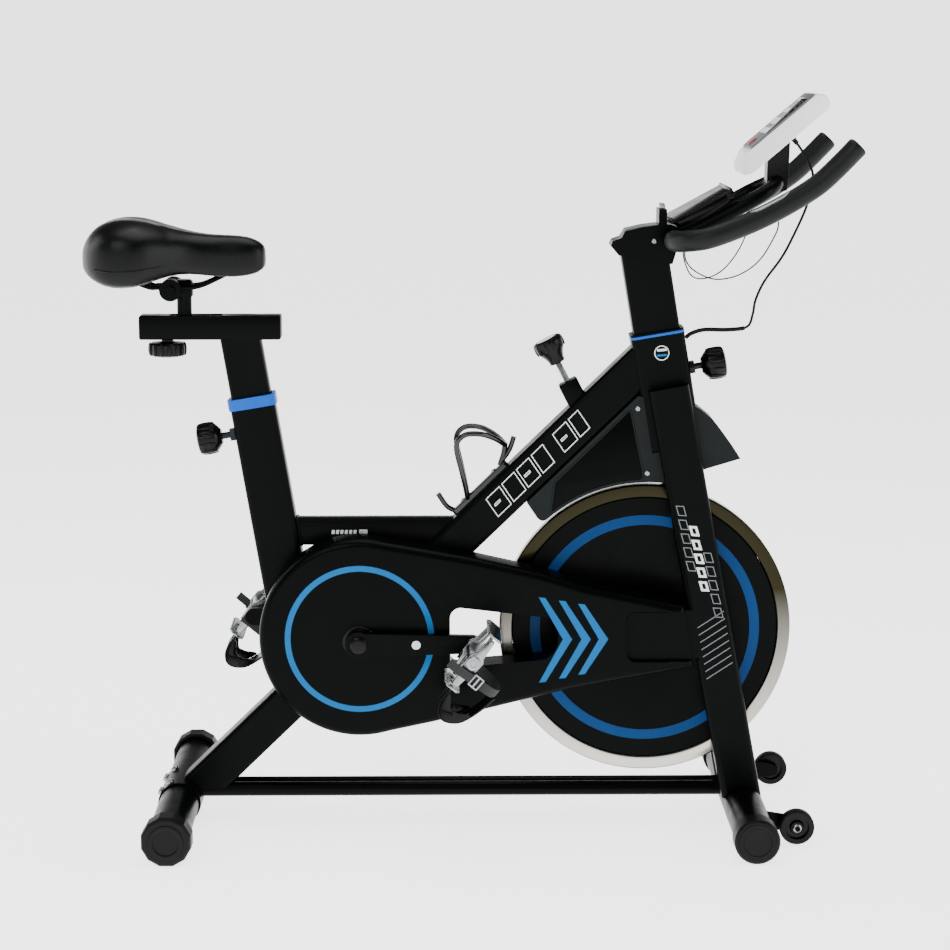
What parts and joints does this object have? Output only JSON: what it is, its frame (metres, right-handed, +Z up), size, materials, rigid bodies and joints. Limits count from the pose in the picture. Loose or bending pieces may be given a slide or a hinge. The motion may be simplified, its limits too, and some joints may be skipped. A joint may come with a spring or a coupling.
{
  "type": "exercise bike",
  "caption": "Indoor training bike with a belt-driven flywheel, pull-pin seat and handlebar posts, toe-clip pedals, tension knob and small monitor.",
  "frame": {"origin": "on the floor under the middle of the bike, at the bottom centre of its bounding box", "axes": "+X to the front of the bike, +Y to the rider's left side, +Z up"},
  "size_m": [1.1403, 0.49, 1.1067],
  "materials": {
    "powder_black": "fine satin powder coat",
    "bar_black": "fine satin powder coat",
    "black_plastic": "satin moulded",
    "blue_plastic": "satin moulded",
    "white_plastic": "semi gloss",
    "red_plastic": "semi gloss",
    "black_rubber": "matt",
    "saddle_cover": "soft vinyl grain",
    "flywheel_iron": "plated rim, painted web",
    "bright_steel": "zinc plated",
    "pad_felt": "pressed felt"
  },
  "bodies": {
    "frame": {"rear_stabilizer": "powder_black", "front_stabilizer": "powder_black", "base_tube_right": "powder_black", "base_tube_left": "powder_black", "main_tube": "powder_black", "seat_tube": "powder_black", "seat_tube_collar": "blue_plastic", "top_tube": "powder_black", "head_tube": "powder_black", "head_tube_collar": "blue_plastic", "fork_leg_right": "powder_black", "fork_leg_left": "powder_black", "flywheel_axle": "bright_steel", "drive_belt": "black_rubber", "belt_cover_outer": "black_plastic", "belt_cover_inner": "black_plastic", "flywheel_guard": "black_plastic", "bottle_cage": "black_plastic", "front_cap_right": "black_rubber", "front_cap_left": "black_rubber"},
    "rear_cap_right": {"rear_cap_right": "black_rubber"},
    "rear_cap_left": {"rear_cap_left": "black_rubber"},
    "transport_wheel_right": {"transport_wheel_right": "black_rubber"},
    "transport_wheel_left": {"transport_wheel_left": "black_rubber"},
    "crankset": {"crank_axle": "bright_steel", "crank_arm_right": "powder_black", "crank_arm_left": "powder_black", "drive_pulley": "black_plastic"},
    "pedal_right": {"pedal_right": "bright_steel", "toe_clip_right": "black_plastic"},
    "pedal_left": {"pedal_left": "bright_steel", "toe_clip_left": "black_plastic"},
    "flywheel": {"flywheel": "flywheel_iron", "flywheel_pulley": "bright_steel"},
    "seat_post": {"seat_post": "powder_black"},
    "saddle_slider": {"saddle_slider": "bright_steel"},
    "slider_knob": {"slider_knob": "black_plastic"},
    "saddle": {"saddle_clamp": "bright_steel", "saddle_rails": "bright_steel", "saddle_pad": "saddle_cover"},
    "seat_post_pin": {"seat_post_pin": "bright_steel"},
    "seat_post_knob": {"seat_post_knob": "black_plastic"},
    "head_pin": {"head_pin": "bright_steel"},
    "head_knob": {"head_knob": "black_plastic"},
    "handlebar": {"handlebar_post": "powder_black", "post_head": "black_plastic", "handlebar": "bar_black", "grip_right": "black_rubber", "grip_left": "black_rubber", "device_tray": "black_plastic", "monitor_housing": "white_plastic", "monitor_bracket": "black_plastic", "sensor_cable": "black_rubber", "pulse_cable_right": "black_rubber", "pulse_cable_left": "black_rubber"},
    "monitor_button": {"monitor_button": "red_plastic"},
    "tension_rod": {"tension_rod": "bright_steel"},
    "tension_knob": {"tension_knob": "black_plastic"},
    "brake_arm": {"brake_arm": "bright_steel", "brake_pad": "pad_felt"}
  },
  "joints": [
    {"name": "crank_spin", "type": "hinge", "parent": "frame", "child": "crankset", "pos_m": [-0.1625, 0, 0.2955], "axis": [0, 1, 0], "continuous": true},
    {"name": "flywheel_spin", "type": "hinge", "parent": "frame", "child": "flywheel", "pos_m": [0.271, 0, 0.2995], "axis": [0, 1, 0], "continuous": true},
    {"name": "pedal_right_spin", "type": "hinge", "parent": "crankset", "child": "pedal_right", "pos_m": [0.0075, -0.17, 0.2955], "axis": [0, 1, 0], "continuous": true},
    {"name": "pedal_left_spin", "type": "hinge", "parent": "crankset", "child": "pedal_left", "pos_m": [-0.3325, 0.17, 0.2955], "axis": [0, 1, 0], "continuous": true},
    {"name": "rear_cap_right_turn", "type": "hinge", "parent": "frame", "child": "rear_cap_right", "pos_m": [-0.439, -0.228, 0.0365], "axis": [0, 1, 0], "continuous": true},
    {"name": "rear_cap_left_turn", "type": "hinge", "parent": "frame", "child": "rear_cap_left", "pos_m": [-0.439, 0.228, 0.0365], "axis": [0, 1, 0], "continuous": true},
    {"name": "transport_wheel_right_roll", "type": "hinge", "parent": "frame", "child": "transport_wheel_right", "pos_m": [0.489, -0.155, 0.03], "axis": [0, 1, 0], "continuous": true},
    {"name": "transport_wheel_left_roll", "type": "hinge", "parent": "frame", "child": "transport_wheel_left", "pos_m": [0.489, 0.155, 0.03], "axis": [0, 1, 0], "continuous": true},
    {"name": "seat_height", "type": "slide", "parent": "frame", "child": "seat_post", "axis": [-0.165, 0, 0.9863], "range_m": [-0.058, 0.1]},
    {"name": "saddle_fore_aft", "type": "slide", "parent": "seat_post", "child": "saddle_slider", "axis": [1, 0, 0], "range_m": [-0.01, 0.045]},
    {"name": "slider_knob_turn", "type": "hinge", "parent": "saddle_slider", "child": "slider_knob", "pos_m": [-0.4485, 0, 0.728], "axis": [0, 0, 1], "continuous": true},
    {"name": "saddle_tilt", "type": "hinge", "parent": "saddle_slider", "child": "saddle", "pos_m": [-0.44, 0, 0.818], "axis": [0, 1, 0], "range_deg": [-7, 7]},
    {"name": "seat_pin_pull", "type": "slide", "parent": "frame", "child": "seat_post_pin", "axis": [-0.9863, 0, -0.165], "range_m": [0, 0.012], "stiffness_N_per_m": 2500, "springref_m": -0.004},
    {"name": "seat_pin_knob_turn", "type": "hinge", "parent": "seat_post_pin", "child": "seat_post_knob", "pos_m": [-0.3151, 0, 0.6045], "axis": [-0.9863, 0, -0.165], "continuous": true},
    {"name": "head_pin_pull", "type": "slide", "parent": "frame", "child": "head_pin", "axis": [0.9863, 0, 0.165], "range_m": [0, 0.012], "stiffness_N_per_m": 2500, "springref_m": -0.004},
    {"name": "head_pin_knob_turn", "type": "hinge", "parent": "head_pin", "child": "head_knob", "pos_m": [0.2941, 0, 0.692], "axis": [0.9863, 0, 0.165], "continuous": true},
    {"name": "handlebar_height", "type": "slide", "parent": "frame", "child": "handlebar", "axis": [-0.165, 0, 0.9863], "range_m": [-0.065, 0.06], "deforming": ["sensor_cable"]},
    {"name": "monitor_button_press", "type": "slide", "parent": "handlebar", "child": "monitor_button", "axis": [0.6494, 0, -0.7604], "range_m": [0, 0.0007], "stiffness_N_per_m": 1500, "springref_m": -0.0005},
    {"name": "tension_push", "type": "slide", "parent": "frame", "child": "tension_rod", "axis": [0.454, 0, -0.891], "range_m": [0, 0.0032], "stiffness_N_per_m": 8000, "springref_m": -0.001},
    {"name": "tension_knob_turn", "type": "hinge", "parent": "tension_rod", "child": "tension_knob", "pos_m": [0.144, 0, 0.692], "axis": [0.454, 0, -0.891], "continuous": true},
    {"name": "brake_arm_swing", "type": "hinge", "parent": "frame", "child": "brake_arm", "pos_m": [0.158, 0, 0.529], "axis": [0, 1, 0], "range_deg": [0, 2.8]}
  ],
  "couplings": [
    {"joint": "flywheel_spin", "follows": "crank_spin", "ratio": 3},
    {"joint": "brake_arm_swing", "follows": "tension_push", "rad_per_m": 14.1}
  ]
}
